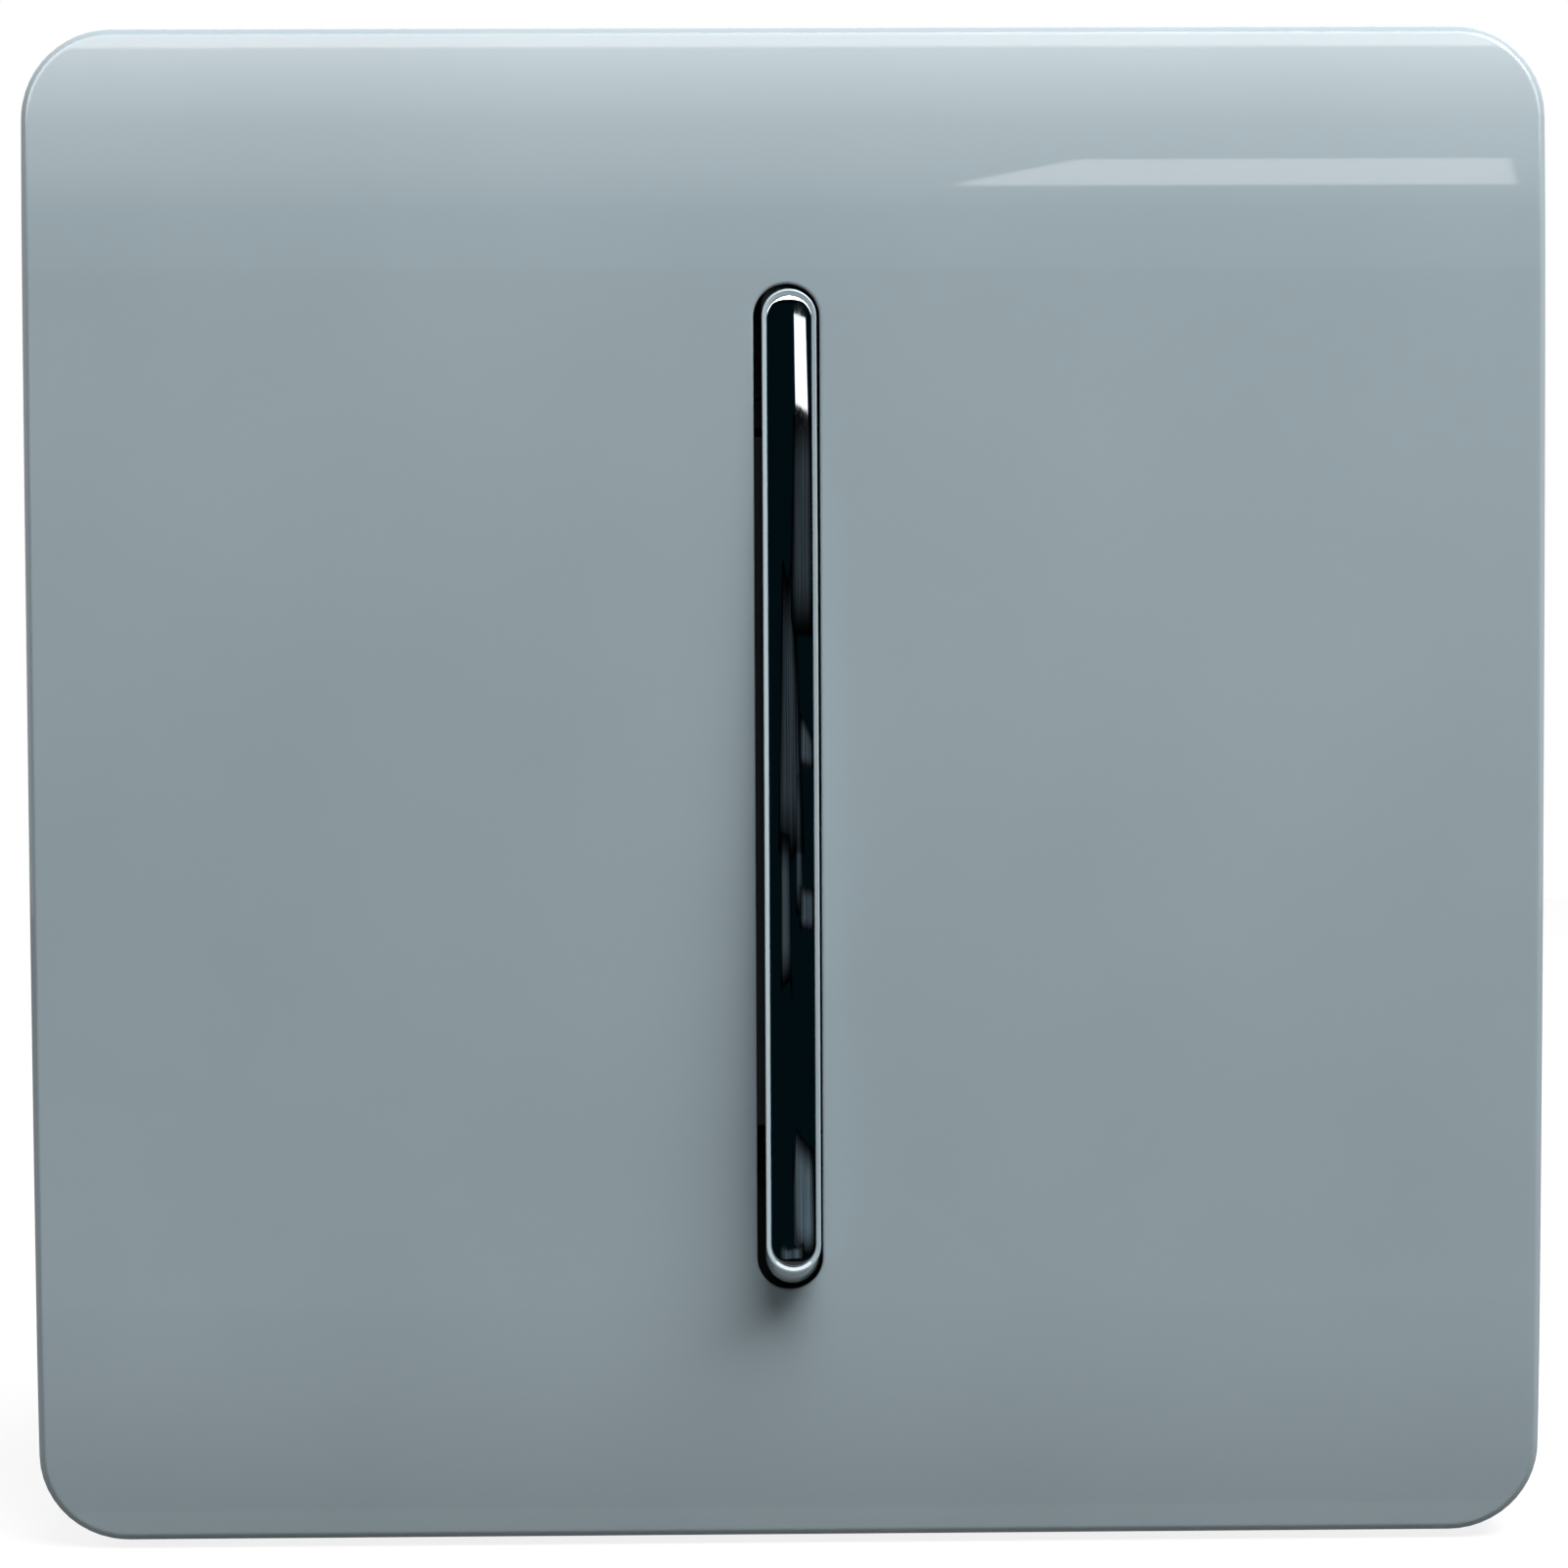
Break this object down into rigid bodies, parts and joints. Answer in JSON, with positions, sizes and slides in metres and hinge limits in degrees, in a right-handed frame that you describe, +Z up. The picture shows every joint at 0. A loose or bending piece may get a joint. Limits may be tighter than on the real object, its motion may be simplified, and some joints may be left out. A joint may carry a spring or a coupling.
{
  "type": "rocker light switch",
  "caption": "Square screwless light switch with a crowned clip-on plate, one tall narrow sprung rocker with a bright insert, and a rear contact block with screw terminals.",
  "frame": {"origin": "midway between the two box screws, on the wall plane", "axes": "+X right, +Y into the wall, +Z up"},
  "size_m": [0.086, 0.0291, 0.086],
  "materials": {
    "plate_grey": "gloss blue-grey moulding",
    "chrome": "bright plated",
    "frame_black": "satin black moulding",
    "body_white": "satin white moulding",
    "dolly_black": "satin black moulding",
    "plunger_nylon": "natural nylon",
    "spring_steel": "drawn wire",
    "contact_bronze": "rolled bronze",
    "contact_silver": "silver alloy",
    "brass": "turned and pressed brass",
    "screw_steel": "zinc plated"
  },
  "bodies": {
    "base": {"mounting_frame": "frame_black", "mechanism_cradle": "frame_black", "mechanism_housing": "body_white", "common_bracket": "brass", "fixed_contact_l1": "brass", "fixed_contact_l2": "brass", "fixed_contact_tips": "contact_silver", "terminal_block_common": "brass", "terminal_block_l1": "brass", "terminal_block_l2": "brass", "cradle_screws": "screw_steel"},
    "cover": {"front_plate": "plate_grey"},
    "rocker": {"rocker_bar": "plate_grey", "rocker_trim": "chrome", "rocker_dolly": "dolly_black", "plunger_spring": "spring_steel"},
    "plunger": {"plunger": "plunger_nylon"},
    "contact": {"moving_contact": "contact_bronze", "moving_contact_tips": "contact_silver"},
    "screw_common": {"terminal_screw_common": "screw_steel"},
    "screw_l1": {"terminal_screw_l1": "screw_steel"},
    "screw_l2": {"terminal_screw_l2": "screw_steel"}
  },
  "joints": [
    {"name": "rocker_tilt", "type": "hinge", "parent": "base", "child": "rocker", "pos_m": [0.00015, 0, 0.0001], "axis": [1, 0, 0], "range_deg": [0, 6.6]},
    {"name": "contact_tilt", "type": "hinge", "parent": "base", "child": "contact", "pos_m": [0, 0.0132, 0], "axis": [1, 0, 0], "range_deg": [-13.9, 0]},
    {"name": "plunger_press", "type": "slide", "parent": "rocker", "child": "plunger", "axis": [0, -0.9983, 0.0576], "range_m": [0, 0.0008], "stiffness_N_per_m": 500, "springref_m": -0.001, "deforming": ["plunger_spring"]},
    {"name": "cover_pull", "type": "slide", "parent": "base", "child": "cover", "axis": [0, -1, 0], "range_m": [0, 0.03]},
    {"name": "terminal_screw_common_travel", "type": "slide", "parent": "base", "child": "screw_common", "axis": [0, -1, 0], "range_m": [0, 0.0017]},
    {"name": "terminal_screw_l1_travel", "type": "slide", "parent": "base", "child": "screw_l1", "axis": [0, -1, 0], "range_m": [0, 0.0017]},
    {"name": "terminal_screw_l2_travel", "type": "slide", "parent": "base", "child": "screw_l2", "axis": [0, -1, 0], "range_m": [0, 0.0017]}
  ],
  "couplings": [
    {"joint": "contact_tilt", "follows": "rocker_tilt", "ratio": -2.1}
  ]
}
